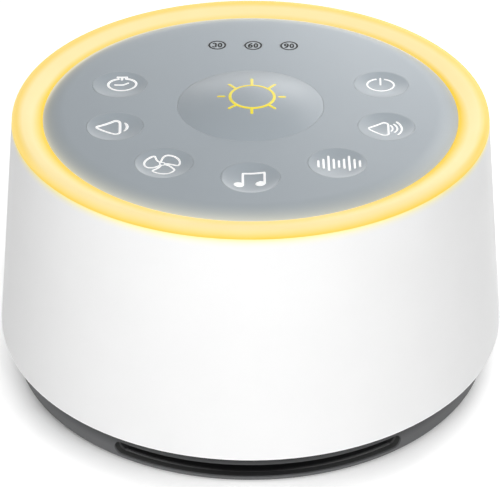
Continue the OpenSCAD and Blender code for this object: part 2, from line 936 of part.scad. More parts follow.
module power_board_screws() {
    color("silver")
    for (x = [-power_post_x, power_post_x], y = power_post_y)
        translate([x, y, z_power_board_top])
        mirror([0, 0, 1])
        screw(small_screw_r, small_head_r, small_head_h, board_t + board_post_h - 1);
}

module board_connectors() {
    color("ivory") {
        translate([connector_x, connector_y, 0])
        block(connector_size, z_power_board_top);
        translate([connector_x, upper_connector_y, 0])
        block(connector_size, z_board_under - connector_size[2]);
        translate([socket_x, socket_y, 0])
        block(socket_size, z_power_board_top);
    }
}

module ribbon_cable() {
    z0 = z_power_board_top + connector_size[2];
    z1 = z_board_under - connector_size[2];
    side = [
        for (i = [0:ribbon_steps])
            let (t = i / ribbon_steps)
            [
                connector_y + (upper_connector_y - connector_y) * (1 - cos(180 * t)) / 2
                    - ribbon_sway * pow(sin(180 * t), 2),
                z0 + (z1 - z0) * t
            ]
    ];
    outline = concat(
        [for (p = side) [p[0] - ribbon_t / 2, p[1]]],
        [for (i = [ribbon_steps:-1:0]) [side[i][0] + ribbon_t / 2, side[i][1]]]
    );
    color("lightgray")
    translate([connector_x - ribbon_w / 2, 0, 0])
    rotate([90, 0, 90])
    linear_extrude(ribbon_w)
    polygon(outline);
}

module amplifier_chip() {
    chip = [4.4, 6, 1.6];
    color("black")
    translate([2.5, power_board_y0 + 4, 0])
    block(chip, z_power_board_top);
}

module power_capacitors() {
    $fn = small_fn;
    color("darkslateblue")
    for (x = [-1, 1])
        translate([x * (jack_w / 2 + 3.2), power_board_y1 - 7, 0])
        rod(2.6, z_power_board_top, z_power_board_top + 8);
}

module power_jack() {
    color("black")
    difference() {
        union() {
            translate([-jack_w / 2, jack_block_y - jack_len, z_power_board_top])
            cube([jack_w, jack_len, jack_h]);
            translate([0, jack_block_y - eps, z_jack_axis])
            rotate([-90, 0, 0])
            cylinder(r = jack_nose_r, h = jack_nose_len + eps);
        }
        translate([0, jack_face_y - jack_bore_depth, z_jack_axis])
        rotate([-90, 0, 0])
        cylinder(r = jack_bore_r, h = jack_bore_depth + eps);
    }
}

module power_jack_pin() {
    $fn = small_fn;
    pin_recess = 1;
    color("gold")
    translate([0, jack_face_y - jack_bore_depth, z_jack_axis])
    rotate([-90, 0, 0])
    cylinder(r = jack_pin_r, h = jack_bore_depth - pin_recess);
}

housing_shell();
light_ring();
control_panel();
key(KEY_TIMER);  // timer_key
key(KEY_VOLUME_DOWN);  // volume_down_key
key(KEY_FAN);  // fan_sound_key
key(KEY_MUSIC);  // music_key
key(KEY_WHITE_NOISE);  // white_noise_key
key(KEY_VOLUME_UP);  // volume_up_key
key(KEY_POWER);  // power_key
night_light_button();
at_key(KEY_TIMER) plunger();  // timer_plunger
at_key(KEY_VOLUME_DOWN) plunger();  // volume_down_plunger
at_key(KEY_FAN) plunger();  // fan_sound_plunger
at_key(KEY_MUSIC) plunger();  // music_plunger
at_key(KEY_WHITE_NOISE) plunger();  // white_noise_plunger
at_key(KEY_VOLUME_UP) plunger();  // volume_up_plunger
at_key(KEY_POWER) plunger();  // power_plunger
plunger();  // night_light_plunger
switch_bodies();
timer_light_pipe();
timer_leds();
night_light_leds();
control_board();
controller_chips();
board_connectors();
ribbon_cable();
panel_screws();
base_tray();
rubber_feet();
base_screws();
speaker_baffle();
speaker_gasket();
speaker_frame();
speaker_surround();
speaker_cone();
speaker_dust_cap();
speaker_voice_coil();
speaker_spider();
speaker_top_plate();
speaker_magnet();
speaker_yoke();
speaker_terminals();
speaker_screws();
speaker_wires();
power_board();
power_board_screws();
amplifier_chip();
power_capacitors();
power_jack();
power_jack_pin();
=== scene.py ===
"""Looks for the white noise sound machine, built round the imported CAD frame.

Lengths are in metres, or in millimetres where a name ends in _mm or a value is multiplied by MM.
The sound slot faces -Y, which is called the front here.
"""
import json
import math

import bmesh
import bpy
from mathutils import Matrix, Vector
from mathutils.bvhtree import BVHTree


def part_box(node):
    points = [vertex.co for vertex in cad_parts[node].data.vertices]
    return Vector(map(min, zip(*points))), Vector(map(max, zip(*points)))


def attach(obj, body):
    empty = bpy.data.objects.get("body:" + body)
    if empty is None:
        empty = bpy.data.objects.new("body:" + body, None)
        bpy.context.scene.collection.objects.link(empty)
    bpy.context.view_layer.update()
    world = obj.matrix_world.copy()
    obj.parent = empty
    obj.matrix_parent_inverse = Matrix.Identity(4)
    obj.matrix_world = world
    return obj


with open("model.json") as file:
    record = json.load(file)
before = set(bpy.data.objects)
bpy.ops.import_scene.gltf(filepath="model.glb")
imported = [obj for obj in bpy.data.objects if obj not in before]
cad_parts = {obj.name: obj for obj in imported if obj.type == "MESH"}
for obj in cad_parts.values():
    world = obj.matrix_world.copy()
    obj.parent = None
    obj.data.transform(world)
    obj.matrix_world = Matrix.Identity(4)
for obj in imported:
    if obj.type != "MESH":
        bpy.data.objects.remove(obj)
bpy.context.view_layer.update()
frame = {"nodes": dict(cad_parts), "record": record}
nodes = frame["nodes"]
MM = 0.001
NOISE_RANGE = (0.3, 0.7)     # most of a noise texture's values lie in it


# ---- Camera, fitted to the ellipses in the photograph ----

LENS_MM = 138.62
SENSOR_MM = 36.0
SHIFT_X = -0.00125
CAMERA_PLACE = (0.0, -0.35186, 0.25256)
CAMERA_TILT = math.radians(57.0245)


def make_camera():
    data = bpy.data.cameras.new("camera")
    data.lens = LENS_MM
    data.sensor_width = SENSOR_MM
    data.shift_x = SHIFT_X
    data.clip_start = 0.01
    data.clip_end = 20.0
    camera = bpy.data.objects.new("camera", data)
    camera.location = CAMERA_PLACE
    camera.rotation_euler = (CAMERA_TILT, 0.0, 0.0)
    bpy.context.collection.objects.link(camera)
    bpy.context.scene.camera = camera


make_camera()


# ---- Material building blocks ----

class Shader:
    """A Principled material and short calls for the nodes that feed it."""

    def __init__(self, name, rough=0.5, metallic=0.0, specular=0.5):
        self.material = bpy.data.materials.new(name)
        self.material.use_nodes = True
        self.tree = self.material.node_tree
        self.bsdf = self.tree.nodes["Principled BSDF"]
        self.bsdf.inputs["Roughness"].default_value = rough
        self.bsdf.inputs["Metallic"].default_value = metallic
        self.bsdf.inputs["Specular IOR Level"].default_value = specular
        self.place = self.node("ShaderNodeTexCoord").outputs["Object"]

    def node(self, kind, **settings):
        made = self.tree.nodes.new(kind)
        for key, value in settings.items():
            setattr(made, key, value)
        return made

    def feed(self, socket, value):
        """Links an output, or sets a plain value."""
        if isinstance(value, bpy.types.NodeSocket):
            self.tree.links.new(value, socket)
        else:
            socket.default_value = value

    # Numbers

    def math(self, operation, a, b=0.0, clamp=False):
        made = self.node("ShaderNodeMath", operation=operation, use_clamp=clamp)
        self.feed(made.inputs[0], a)
        self.feed(made.inputs[1], b)
        return made.outputs[0]

    def product(self, first, *others):
        for other in others:
            first = self.math("MULTIPLY", first, other)
        return first

    def length(self, a, b):
        """Length of the vector (a, b)."""
        return self.math("SQRT", self.math("ADD", self.product(a, a), self.product(b, b)))

    def span(self, value, low, high, new_low=0.0, new_high=1.0):
        """Maps low..high to new_low..new_high, and stops at both ends."""
        made = self.node("ShaderNodeMapRange")
        self.feed(made.inputs["Value"], value)
        self.feed(made.inputs["From Min"], low)
        self.feed(made.inputs["From Max"], high)
        self.feed(made.inputs["To Min"], new_low)
        self.feed(made.inputs["To Max"], new_high)
        return made.outputs["Result"]

    def waves(self, value, pitch_mm):
        """A sine that repeats every pitch_mm."""
        return self.math("SINE", self.math("MULTIPLY", value, 2 * math.pi / (pitch_mm * MM)))

    # Places on the machine

    def axis(self, name):
        made = self.node("ShaderNodeSeparateXYZ")
        self.feed(made.inputs[0], self.place)
        return made.outputs[name]

    def forward(self):
        """Distance towards the front."""
        return self.math("MULTIPLY", self.axis("Y"), -1.0)

    def off_centre(self):
        """Distance from the plane between left and right."""
        return self.math("ABSOLUTE", self.axis("X"))

    def radius(self):
        """Distance from the machine's own axis."""
        return self.length(self.axis("X"), self.axis("Y"))

    def turn(self):
        """Angle round the axis, 0 at the front and positive to the right."""
        return self.math("ARCTAN2", self.axis("X"), self.forward())

    def upright(self):
        """1 on upright walls, 0 on faces that look up or down."""
        made = self.node("ShaderNodeSeparateXYZ")
        self.feed(made.inputs[0], self.node("ShaderNodeNewGeometry").outputs["True Normal"])
        return self.span(self.math("ABSOLUTE", made.outputs["Z"]), 0.25, 0.6, 1.0, 0.0)

    # Patterns

    def noise(self, size_mm, detail=2.0, stretch=(1, 1, 1)):
        mapping = self.node("ShaderNodeMapping")
        self.feed(mapping.inputs["Vector"], self.place)
        mapping.inputs["Scale"].default_value = [s / (size_mm * MM) for s in stretch]
        made = self.node("ShaderNodeTexNoise")
        self.feed(made.inputs["Vector"], mapping.outputs[0])
        made.inputs["Scale"].default_value = 1.0
        made.inputs["Detail"].default_value = detail
        return made.outputs["Fac"]

    def cells(self, size_mm):
        made = self.node("ShaderNodeTexVoronoi", feature="F1")
        self.feed(made.inputs["Vector"], self.place)
        made.inputs["Scale"].default_value = 1.0 / (size_mm * MM)
        return made.outputs["Distance"]

    def mix(self, factor, a, b):
        made = self.node("ShaderNodeMix", data_type="RGBA")
        self.feed(made.inputs[0], factor)
        self.feed(made.inputs[6], rgba(a))
        self.feed(made.inputs[7], rgba(b))
        return made.outputs[2]

    # The surface

    def colour(self, value):
        self.feed(self.bsdf.inputs["Base Color"], rgba(value))

    def painted(self):
        """The output that feeds the base colour so far."""
        return self.bsdf.inputs["Base Color"].links[0].from_socket

    def tones(self, value, value_range, first, last):
        """Base colour from first to last while value goes through value_range."""
        self.colour(self.mix(self.span(value, *value_range), first, last))

    def roughness(self, value, value_range, low, high):
        """Roughness from low to high while value goes through value_range."""
        self.feed(self.bsdf.inputs["Roughness"], self.span(value, *value_range, low, high))

    def bump(self, height, depth_mm):
        """Adds to the bumps that are already there."""
        made = self.node("ShaderNodeBump")
        made.inputs["Strength"].default_value = 1.0
        made.inputs["Distance"].default_value = depth_mm * MM
        self.feed(made.inputs["Height"], height)
        if self.bsdf.inputs["Normal"].is_linked:
            below = self.bsdf.inputs["Normal"].links[0].from_socket
            self.feed(made.inputs["Normal"], below)
        self.feed(self.bsdf.inputs["Normal"], made.outputs[0])

    def glow(self, colour, strength=1.0):
        self.feed(self.bsdf.inputs["Emission Color"], rgba(colour))
        self.bsdf.inputs["Emission Strength"].default_value = strength


def rgba(value):
    """An output as it is, or a colour with its alpha."""
    return value if isinstance(value, bpy.types.NodeSocket) else (*value, 1.0)


def shade(colour, factor):
    return tuple(min(1.0, c * factor) for c in colour)


def plastic(name, colour, rough, grain, depth, cloud, specular=0.5):
    """Moulded plastic: a spark-eroded grain, faint clouds from the flow, uneven sheen."""
    s = Shader(name, rough, specular=specular)
    flow = s.noise(14.0, 3.0)
    fine = s.noise(grain, 3.0)
    s.tones(flow, NOISE_RANGE, shade(colour, 1 - cloud), shade(colour, 1 + cloud))
    s.roughness(s.math("ADD", flow, fine), (0.6, 1.4), rough - 0.06, rough + 0.06)
    s.bump(fine, depth)
    return s


# ---- Materials of the outside ----

DARK = (0.0, 0.0, 0.0)
GREY_PAINT = (0.385, 0.430, 0.467)
KEY_PITCH = math.radians(36)     # the keys stand on a circle, a tenth of a turn apart


def shell_white():
    """White, with painted light: a glow like the ring's is painted into the upper edge as tint
    and emission, and a painted highlight, standing for the floor's light, runs along the lower
    rim.
    """
    s = plastic("shell_white", (0.87, 0.87, 0.87), 0.38, grain=0.22, depth=0.002, cloud=0.008)
    low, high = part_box("housing_shell")
    painted_glow_depth, rim_start, rim_full = 2.6 * MM, 0.75 * MM, 0.3 * MM
    painted_ring_glow = s.math("POWER", s.span(s.axis("Z"), high.z - painted_glow_depth, high.z), 3.0)
    rim = s.span(s.axis("Z"), low.z + rim_start, low.z + rim_full)
    # Painted light: the top edge is tinted yellow and glows as if the ring lit it; the bottom rim
    # glows as a painted highlight.
    s.colour(s.mix(painted_ring_glow, s.painted(), (0.87, 0.80, 0.36)))
    warm = s.mix(painted_ring_glow, DARK, (0.18, 0.12, 0.0))
    s.glow(s.mix(rim, warm, (0.16, 0.16, 0.16)))
    return s


def ring_diffuser():
    """A lit diffuser: pale yellow over the crown. The golden bands along both edges are painted
    shade.
    """
    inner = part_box("control_panel")[1].x
    s = Shader("ring_diffuser", 0.45, specular=0.15)
    r = s.radius()
    front = s.math("DIVIDE", s.forward(), r)     # 1 at the front, 0 at the sides, -1 at the back
    gold = s.math("MAXIMUM", inner_gold_shade(s, r, front, inner), outer_gold_shade(s, r, front, inner))
    cloud = s.span(s.noise(9.0, 2.0), 0.35, 0.65, 0.0, 0.06)
    # Painted shade: a little more gold towards the right side.
    cloud = s.math("ADD", cloud, s.span(s.axis("X"), 0.5 * inner, inner, 0.0, 0.05))
    edge = s.math("ADD", gold, cloud, clamp=True)
    s.colour(s.mix(edge, (0.20, 0.18, 0.10), (0.20, 0.14, 0.02)))
    s.glow(s.mix(edge, (0.82, 0.67, 0.34), (0.78, 0.52, 0.03)))
    s.roughness(s.noise(0.3), NOISE_RANGE, 0.40, 0.52)
    s.bump(s.noise(0.3), 0.001)
    return s


def inner_gold_shade(s, r, front, inner):
    """The band of painted shade on the inner side: wide and weak in front, narrow and strong at
    the sides.
    """
    full_at_side, full_at_front = inner + 0.35 * MM, inner + 3.75 * MM
    faded_at_back, faded_at_front = inner + 1.2 * MM, inner + 5.1 * MM
    towards = s.math("POWER", s.math("MAXIMUM", front, 0.0), 2.5)
    start = s.span(towards, 0.0, 1.0, full_at_side, full_at_front)
    end = s.span(front, -0.22, 1.0, faded_at_back, faded_at_front)
    side = s.math("DIVIDE", s.off_centre(), r)
    depth = s.product(s.span(side, 0.28, 0.97, 0.45, 1.0), s.span(front, -0.5, 0.0, 0.75, 1.0))
    return s.product(s.span(r, start, end, 1.0, 0.0), depth)


def outer_gold_shade(s, r, front, inner):
    """The band of painted shade low on the outer side, and at the back also the one outside the
    crest.

    At the front that crest lies outside the ring.
    """
    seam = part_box("housing_shell")[1].z
    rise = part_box("light_ring")[1].z - seam
    crown_start, crown_end = inner + 3.9 * MM, inner + 4.6 * MM
    crest_at_back, crest_at_front = inner + 3.9 * MM, inner + 8.3 * MM
    low_down = s.span(s.axis("Z"), seam + 0.12 * rise, seam + 0.95 * rise, 0.82, 0.0)
    outside = s.product(low_down, s.span(r, crown_start, crown_end))
    near_front = s.math("POWER", s.math("ADD", front, 1.0), 2.0)
    crest = s.span(near_front, 0.0, 4.0, crest_at_back, crest_at_front)
    behind = s.span(r, s.math("SUBTRACT", crest, 1.2 * MM), crest, 0.0, 0.58)
    return s.math("MAXIMUM", outside, behind)


def top_grey(name, colour, rough):
    """Painted grey on top. Upright walls, such as the walls of the seams, get a paler colour:
    painted light that lightens the seams' shade.
    """
    s = plastic(name, colour, rough, grain=0.18, depth=0.002, cloud=0.012, specular=0.25)
    # Painted light: upright walls are paler, which lightens the shade in the seams.
    s.colour(s.mix(s.upright(), s.painted(), (0.60, 0.62, 0.64)))
    return s


def panel_grey():
    """The panel's rolled edge carries a painted glow that stands for the ring's light, most at
    the back and on the left.
    """
    s = top_grey("panel_grey", GREY_PAINT, 0.40)
    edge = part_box("control_panel")[1].x
    reach_at_sides, reach_at_ends = 0.6 * MM, 1.2 * MM
    reach = s.span(s.math("ABSOLUTE", s.axis("Y")), 0.0, edge, reach_at_sides, reach_at_ends)
    painted_ring_spill = s.math("EXPONENT", s.math("DIVIDE", s.math("SUBTRACT", s.radius(), edge), reach))
    on_left = s.span(s.axis("X"), 0.0, edge, 0.8, 0.12)
    at_back = s.span(s.axis("Y"), 0.0, 0.7 * edge, 1.0, 4.6)
    # Painted light: emission on the rolled edge, standing for the ring's light.
    s.glow(s.mix(s.product(painted_ring_spill, on_left, at_back), DARK, (0.40, 0.37, 0.28)))
    return s


def key_grey():
    """The front rims of the dishes carry a painted glow that stands for the ring's light."""
    s = top_grey("key_grey", GREY_PAINT, 0.36)
    low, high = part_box("music_key")
    circle = -(low.y + high.y) / 2
    rim = 5.7 * MM
    r, turn = s.radius(), s.turn()
    nearest = s.math("SNAP", s.math("ADD", turn, KEY_PITCH / 2), KEY_PITCH)
    aside = s.math("SUBTRACT", turn, nearest)
    along = s.math("SUBTRACT", s.product(r, s.math("COSINE", aside)), circle)
    across = s.product(r, s.math("SINE", aside))
    near_rim = s.math("POWER", s.span(s.length(along, across), rim * 0.5, rim), 2.0)
    front = s.span(s.math("DIVIDE", s.forward(), r), 0.0, 1.0)
    facing = s.product(s.span(along, 0.0, rim), front)
    # Painted light: emission on the front rims of the dishes.
    s.glow(s.mix(s.product(near_rim, facing), DARK, (0.15, 0.15, 0.15)))
    return s


def window_grey():
    return top_grey("window_grey", (0.43, 0.47, 0.50), 0.34)


def base_grey():
    """Dark grey outside, with painted shade right under the shell. Inside the slot, painted shade
    makes it near black.
    """
    s = plastic("base_grey", (0.118, 0.120, 0.123), 0.45,
                grain=0.30, depth=0.008, cloud=0.06, specular=0.2)
    low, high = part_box("base_tray")
    r, z = s.radius(), s.axis("Z")
    side = s.span(s.off_centre(), 5 * MM, 26 * MM)     # from the slot's middle to its ends
    # Painted shade: darker right under the shell, a little less dark towards the slot's ends.
    under_shell = s.span(z, low.z + 2.2 * MM, low.z + 5.0 * MM)
    shaded = s.mix(side, (0.039, 0.040, 0.041), (0.052, 0.053, 0.054))
    outside = s.mix(under_shell, s.painted(), shaded)
    skin, bottom = 0.4 * MM, 0.3 * MM
    in_slot = s.product(s.math("LESS_THAN", r, high.x - skin),
                        s.math("GREATER_THAN", z, low.z + bottom))
    # Painted shade: inside the slot the colour is near black.
    s.colour(s.mix(in_slot, outside, slot_painted_shade(s, r, side, high.x)))
    return s


def slot_painted_shade(s, r, side, outer):
    """Painted shade in the slot, from outside in: the sill, the bead along its inner edge, and
    what lies deeper. Each is paler towards the slot's ends, where the bead is a painted
    highlight.
    """
    bead_start, bead_end = outer - 1.55 * MM, outer - 2.05 * MM
    sill = s.mix(side, (0.025, 0.025, 0.026), (0.050, 0.051, 0.050))
    bead = s.mix(side, (0.018, 0.018, 0.019), (0.105, 0.106, 0.107))
    deep = s.mix(side, (0.016, 0.016, 0.017), (0.034, 0.034, 0.035))
    near = s.mix(s.math("LESS_THAN", r, bead_start), sill, bead)
    return s.mix(s.math("GREATER_THAN", r, bead_end), deep, near)


def foot_rubber():
    """Matte rubber with a little dust."""
    s = Shader("foot_rubber", 0.85, specular=0.3)
    dust = s.noise(2.5, 4.0)
    s.tones(dust, (0.45, 0.7), (0.022, 0.022, 0.023), (0.045, 0.044, 0.042))
    s.roughness(dust, NOISE_RANGE, 0.75, 0.92)
    s.bump(s.noise(0.12, 4.0), 0.012)
    return s


def ink(name, colour, glow=0.0, specular=0.5):
    """Pad-printed ink: thin, slightly glossy, with a faint screen. Where glow is given, the ink
    carries a painted glow that brightens it.
    """
    s = Shader(name, 0.4, specular=specular)
    film = s.noise(0.35, 2.0)
    s.tones(film, NOISE_RANGE, shade(colour, 0.97), colour)
    s.roughness(film, NOISE_RANGE, 0.34, 0.46)
    s.bump(film, 0.001)
    s.glow(colour, glow)
    return s


# ---- Materials of the inside ----

# colour, roughness, size of the grain and depth of the grain in mm, strength of the clouds
PLAIN_PLASTICS = {
    "ferrite": ((0.07, 0.07, 0.075), 0.6, 0.4, 0.02, 0.12),
    "chip_black": ((0.028, 0.028, 0.030), 0.6, 0.12, 0.006, 0.05),
    "connector_ivory": ((0.74, 0.69, 0.56), 0.5, 0.3, 0.006, 0.04),
    "inner_plastic": ((0.050, 0.050, 0.053), 0.5, 0.3, 0.008, 0.08),
}


def metal(name, colour, rough, stretch=(1, 1, 1)):
    """Worked metal: a fine lay and faint stains."""
    s = Shader(name, rough, metallic=1.0)
    lay = s.noise(0.12, 2.0, stretch)
    stain = s.noise(5.0, 3.0)
    s.tones(stain, (0.35, 0.65), shade(colour, 0.88), colour)
    s.roughness(lay, NOISE_RANGE, rough - 0.08, rough + 0.12)
    s.bump(lay, 0.002)
    return s


def steel():
    s = metal("steel", (0.62, 0.62, 0.63), 0.32)
    s.bump(s.waves(s.radius(), 0.25), 0.002)
    return s


def pin_brass():
    return metal("pin_brass", (0.82, 0.64, 0.30), 0.22, stretch=(1, 0.2, 1))


def coil_copper():
    """Enamelled wire, wound in fine turns."""
    s = metal("coil_copper", (0.80, 0.36, 0.16), 0.3)
    s.bump(s.waves(s.axis("Z"), 0.16), 0.03)
    return s


def board_green():
    """Solder mask over copper tracks, with tinned vias."""
    s = Shader("board_green", 0.3)
    copper = s.node("ShaderNodeTexBrick")
    s.feed(copper.inputs["Vector"], s.place)
    track_pitch = 3.0 * MM
    copper.inputs["Scale"].default_value = 1.0 / track_pitch
    copper.inputs["Mortar Size"].default_value = 0.09
    copper.inputs["Mortar Smooth"].default_value = 0.3
    tracks = s.product(copper.outputs["Fac"], s.span(s.noise(9.0, 1.0), 0.48, 0.52))
    vias = s.math("LESS_THAN", s.cells(2.6), 0.16)
    mask = s.mix(tracks, (0.010, 0.105, 0.045), (0.030, 0.190, 0.075))
    s.colour(s.mix(vias, mask, (0.62, 0.60, 0.52)))
    s.roughness(s.noise(0.5), NOISE_RANGE, 0.24, 0.36)
    s.bump(s.math("MAXIMUM", tracks, vias), 0.03)
    return s


def led_white():
    """Phosphor in a clear case, lit."""
    s = Shader("led_white", 0.25)
    phosphor = s.noise(0.6, 2.0)
    s.tones(phosphor, NOISE_RANGE, (0.92, 0.86, 0.55), (0.95, 0.93, 0.78))
    s.glow((1.0, 0.80, 0.40), 0.35)
    s.bump(phosphor, 0.01)
    return s


def ribbon_grey():
    """Wires side by side, a millimetre apart."""
    s = Shader("ribbon_grey", 0.45)
    groove = s.waves(s.axis("X"), 1.0)
    s.tones(groove, (-0.9, -0.4), (0.33, 0.34, 0.36), (0.56, 0.57, 0.59))
    s.roughness(s.noise(1.0), NOISE_RANGE, 0.40, 0.52)
    s.bump(groove, 0.08)
    return s


def cone_paper():
    """Pressed pulp with shallow rings."""
    s = Shader("cone_paper", 0.85, specular=0.3)
    fibre = s.noise(0.5, 5.0, (1, 1, 0.4))
    s.tones(fibre, (0.4, 0.65), (0.030, 0.030, 0.032), (0.075, 0.073, 0.070))
    s.roughness(fibre, NOISE_RANGE, 0.78, 0.92)
    s.bump(fibre, 0.03)
    s.bump(s.waves(s.radius(), 2.2), 0.05)
    return s


def spider_fabric():
    """Resin-stiffened weave with corrugations."""
    s = Shader("spider_fabric", 0.75)
    weave = s.product(s.waves(s.axis("X"), 0.35), s.waves(s.axis("Y"), 0.35))
    s.tones(weave, (-0.6, 0.6), (0.42, 0.27, 0.08), (0.74, 0.55, 0.24))
    s.roughness(weave, (-1.0, 1.0), 0.68, 0.84)
    s.bump(weave, 0.03)
    s.bump(s.waves(s.radius(), 1.8), 0.25)
    return s


def foam_black():
    """Foam with open pores."""
    s = Shader("foam_black", 0.95, specular=0.2)
    pores = s.cells(0.5)
    s.tones(pores, (0.1, 0.5), (0.012, 0.012, 0.012), (0.050, 0.050, 0.052))
    s.roughness(pores, (0.1, 0.6), 0.98, 0.88)
    s.bump(pores, 0.12)
    return s


def terminal_board():
    """Layered phenolic board."""
    s = Shader("terminal_board", 0.6)
    layers = s.noise(0.5, 3.0, (0.3, 1, 3))
    s.tones(layers, (0.35, 0.65), (0.30, 0.17, 0.07), (0.46, 0.29, 0.13))
    s.roughness(layers, NOISE_RANGE, 0.52, 0.68)
    s.bump(layers, 0.01)
    return s


def wire_red():
    """Insulation with uneven dye."""
    s = Shader("wire_red", 0.4)
    dye = s.noise(1.2, 2.0)
    s.tones(dye, (0.35, 0.65), (0.42, 0.020, 0.016), (0.62, 0.045, 0.035))
    s.roughness(dye, NOISE_RANGE, 0.34, 0.50)
    s.bump(dye, 0.01)
    return s


def capacitor_blue():
    """A sleeved can: pale stripe down one side, bare metal lid."""
    s = Shader("capacitor_blue", 0.35)
    low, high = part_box("power_capacitors")
    x_mid, y_mid = high.x - (high.y - low.y) / 2, (low.y + high.y) / 2
    stripe_half, lid_depth = 0.9 * MM, 0.15 * MM
    across = s.math("SUBTRACT", s.off_centre(), x_mid)
    along = s.math("SUBTRACT", s.axis("Y"), y_mid)
    stripe = s.product(s.math("GREATER_THAN", along, 0.0),
                       s.math("LESS_THAN", s.math("ABSOLUTE", across), stripe_half))
    sleeve = s.mix(stripe, (0.030, 0.045, 0.190), (0.52, 0.55, 0.60))
    lid = s.math("GREATER_THAN", s.axis("Z"), high.z - lid_depth)
    s.colour(s.mix(lid, sleeve, (0.70, 0.70, 0.71)))
    s.roughness(s.noise(0.8), NOISE_RANGE, 0.28, 0.42)
    s.bump(s.noise(0.8), 0.01)
    return s


def surround_rubber():
    """Rubber with a dull bloom."""
    s = Shader("surround_rubber", 0.7, specular=0.35)
    bloom = s.noise(3.0, 3.0)
    s.tones(bloom, (0.4, 0.65), (0.028, 0.028, 0.029), (0.055, 0.054, 0.053))
    s.roughness(bloom, NOISE_RANGE, 0.62, 0.80)
    s.bump(s.noise(0.2, 3.0), 0.004)
    return s


# Each of these is named after the record's material slot that it makes.
MAKERS = (shell_white, ring_diffuser, panel_grey, key_grey, window_grey, base_grey, foot_rubber,
          steel, pin_brass, coil_copper, board_green, led_white, ribbon_grey, cone_paper,
          spider_fabric, foam_black, terminal_board, wire_red, capacitor_blue, surround_rubber)


def dress_cad_nodes():
    finishes = {make.__name__: make() for make in MAKERS}
    for name, looks in PLAIN_PLASTICS.items():
        finishes[name] = plastic(name, *looks)
    for row in frame["record"]["subparts"]:
        mesh = nodes[row["node"]].data
        mesh.materials.clear()
        mesh.materials.append(finishes[row["material_slot"]].material)


dress_cad_nodes()
# The white and yellow inks carry a painted glow.
ink_white = ink("ink_white", (0.93, 0.93, 0.93), 0.25)
ink_yellow = ink("ink_yellow", (0.94, 0.78, 0.03), 0.08)
ink_grey = ink("ink_grey", (0.008, 0.010, 0.011), specular=0.1)


# ---- Printed layers ----

FILM_MM = 0.035                  # how far the ink's top stands over the node
SINK_MM = 0.02                   # how far its edge reaches into the node
SHOULDER_MM = FILM_MM * 0.7
STEP_MM = 0.22                   # longest side of a facet along a stroke
FINE_STEP_MM = 0.12              # the same, for the small numbers
BLOB_SIDES = 28
WELD = 1e-7
ABOVE = 0.1                      # a height over the whole machine
DOWN = Vector((0, 0, -1))
CAP_ANGLES = (88, 70, 45, 22)    # degrees, from the tip of a round end inwards

# Share of the way from the middle to the edge, and the ink's height there
STROKE_PROFILE = ((1.0, -SINK_MM), (0.94, SHOULDER_MM), (0.6, FILM_MM), (0.0, FILM_MM),
                  (-0.6, FILM_MM), (-0.94, SHOULDER_MM), (-1.0, -SINK_MM))
BLOB_PROFILE = ((0.02, FILM_MM), (0.35, FILM_MM), (0.68, FILM_MM),
                (0.95, SHOULDER_MM), (1.0, -SINK_MM))


